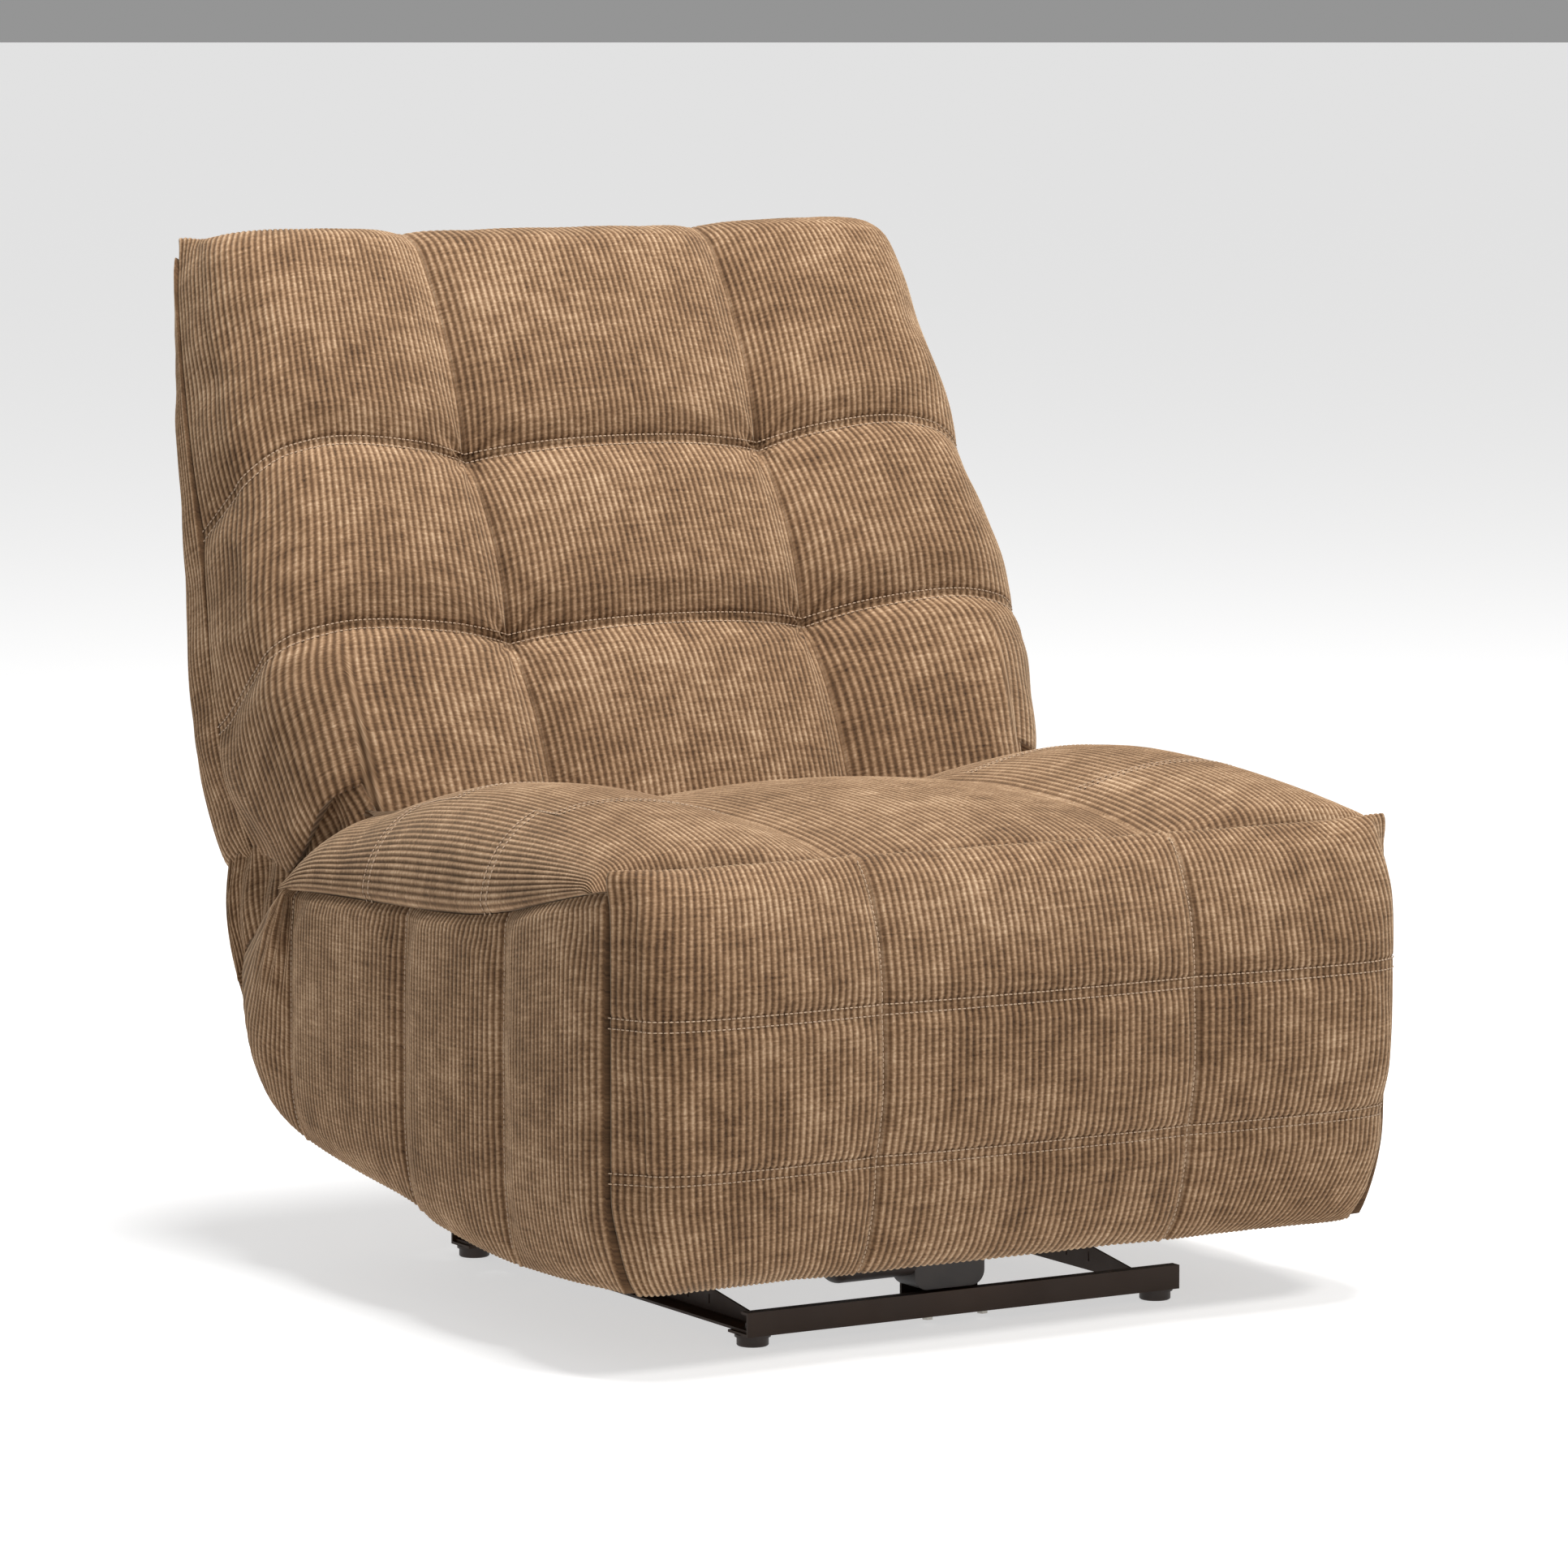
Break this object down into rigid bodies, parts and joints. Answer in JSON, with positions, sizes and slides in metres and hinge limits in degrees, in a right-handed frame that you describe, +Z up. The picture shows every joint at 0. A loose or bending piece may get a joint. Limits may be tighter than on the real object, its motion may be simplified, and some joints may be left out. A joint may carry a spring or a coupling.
{
  "type": "powered recliner",
  "caption": "Armless powered recliner: tufted ribbed upholstery, lazy-tong footrest and tilting back on a dark steel base with glide feet.",
  "frame": {"origin": "on the floor, under the middle of the bounding box at rest (upright, footrest folded)", "axes": "+X to the right side of the chair seen from the front, +Y to the rear, -Y the front, +Z up"},
  "size_m": [0.8968, 0.9894, 0.9998],
  "materials": {
    "brown_steel": "satin powder coat, dark brown",
    "plated_rivets": "dull zinc plate",
    "foot_plastic": "moulded, matte dark brown",
    "plywood": "raw birch plywood",
    "webbing": "woven elastic webbing, black",
    "corduroy": "wide-rib chenille corduroy, camel brown",
    "drive_housing": "moulded, matte dark brown",
    "track_aluminium": "extruded, satin",
    "carriage_plastic": "moulded glass-filled nylon, black",
    "switch_plastic": "moulded, fine grain, black",
    "button_plastic": "moulded, dark grey"
  },
  "bodies": {
    "seat_frame": {"base_rail_left": "brown_steel", "base_rail_right": "brown_steel", "front_cross_bar": "brown_steel", "rear_cross_bar": "brown_steel", "glide_feet": "foot_plastic", "base_brackets": "brown_steel", "side_plate_left": "brown_steel", "side_plate_right": "brown_steel", "side_board_left": "plywood", "side_board_right": "plywood", "stringer_left": "plywood", "stringer_right": "plywood", "seat_front_rail": "plywood", "seat_rear_rail": "plywood", "rear_board": "plywood", "seat_webbing": "webbing", "frame_pins": "plated_rivets", "side_panel_left": "corduroy", "side_panel_right": "corduroy", "seat_cushion": "corduroy", "rear_pad": "corduroy", "motor_bracket": "brown_steel", "motor_bolts": "plated_rivets", "lift_gearbox": "drive_housing", "lift_motor": "drive_housing", "lift_track": "track_aluminium", "cross_tube": "brown_steel", "recline_gearbox": "drive_housing", "recline_motor": "drive_housing", "recline_track": "track_aluminium", "power_inlet": "drive_housing", "control_switch": "switch_plastic"},
    "drive_links": {"drive_link_left": "brown_steel", "drive_link_right": "brown_steel", "torque_tube": "brown_steel", "drive_pins": "plated_rivets"},
    "control_links": {"control_link_left": "brown_steel", "control_link_right": "brown_steel", "control_pins": "plated_rivets"},
    "cross_links": {"cross_link_left": "brown_steel", "cross_link_right": "brown_steel"},
    "outer_links": {"outer_link_left": "brown_steel", "outer_link_right": "brown_steel"},
    "footrest": {"footrest_bracket_left": "brown_steel", "footrest_bracket_right": "brown_steel", "footrest_board": "plywood", "footrest_pad": "corduroy", "footrest_pins": "plated_rivets"},
    "lift_carriage": {"lift_carriage": "carriage_plastic"},
    "back": {"back_bracket_left": "brown_steel", "back_bracket_right": "brown_steel", "back_lever_tube": "brown_steel", "back_frame": "plywood", "back_cushion": "corduroy", "back_shell": "corduroy"},
    "recline_carriage": {"recline_carriage": "carriage_plastic"},
    "button_footrest_out": {"button_footrest_out": "button_plastic"},
    "button_footrest_in": {"button_footrest_in": "button_plastic"},
    "button_back_down": {"button_back_down": "button_plastic"},
    "button_back_up": {"button_back_up": "button_plastic"}
  },
  "joints": [
    {"name": "footrest_lift", "type": "hinge", "parent": "seat_frame", "child": "drive_links", "pos_m": [0, -0.2, 0.3], "axis": [-1, 0, 0], "range_deg": [0, 90]},
    {"name": "control_swing", "type": "hinge", "parent": "seat_frame", "child": "control_links", "pos_m": [0, -0.26298, 0.33195], "axis": [-1, 0, 0], "range_deg": [0, 90]},
    {"name": "cross_swing", "type": "hinge", "parent": "drive_links", "child": "cross_links", "pos_m": [0, -0.09, 0.10947], "axis": [-1, 0, 0], "range_deg": [-90, 0]},
    {"name": "outer_swing", "type": "hinge", "parent": "control_links", "child": "outer_links", "pos_m": [0, -0.12548, 0.09379], "axis": [-1, 0, 0], "range_deg": [-90, 0]},
    {"name": "footrest_swing", "type": "hinge", "parent": "cross_links", "child": "footrest", "pos_m": [0, -0.40489, 0.26923], "axis": [-1, 0, 0], "range_deg": [0, 90]},
    {"name": "lift_travel", "type": "slide", "parent": "seat_frame", "child": "lift_carriage", "axis": [0, -1, 0], "range_m": [0, 0.198]},
    {"name": "back_recline", "type": "hinge", "parent": "seat_frame", "child": "back", "pos_m": [0, 0.19, 0.335], "axis": [-1, 0, 0], "range_deg": [0, 40]},
    {"name": "recline_travel", "type": "slide", "parent": "seat_frame", "child": "recline_carriage", "axis": [0, -1, 0], "range_m": [0, 0.06156]},
    {"name": "press_footrest_out", "type": "slide", "parent": "seat_frame", "child": "button_footrest_out", "axis": [-1, 0, 0], "range_m": [0, 0.0015], "stiffness_N_per_m": 800, "springref_m": -0.0005},
    {"name": "press_footrest_in", "type": "slide", "parent": "seat_frame", "child": "button_footrest_in", "axis": [-1, 0, 0], "range_m": [0, 0.0015], "stiffness_N_per_m": 800, "springref_m": -0.0005},
    {"name": "press_back_down", "type": "slide", "parent": "seat_frame", "child": "button_back_down", "axis": [-1, 0, 0], "range_m": [0, 0.0015], "stiffness_N_per_m": 800, "springref_m": -0.0005},
    {"name": "press_back_up", "type": "slide", "parent": "seat_frame", "child": "button_back_up", "axis": [-1, 0, 0], "range_m": [0, 0.0015], "stiffness_N_per_m": 800, "springref_m": -0.0005}
  ],
  "couplings": [
    {"joint": "control_swing", "follows": "footrest_lift", "ratio": 1},
    {"joint": "cross_swing", "follows": "footrest_lift", "ratio": -1},
    {"joint": "outer_swing", "follows": "footrest_lift", "ratio": -1},
    {"joint": "footrest_swing", "follows": "footrest_lift", "ratio": 1},
    {"joint": "lift_travel", "follows": "footrest_lift", "m_per_rad": 0.12605},
    {"joint": "recline_travel", "follows": "back_recline", "m_per_rad": 0.088182}
  ]
}
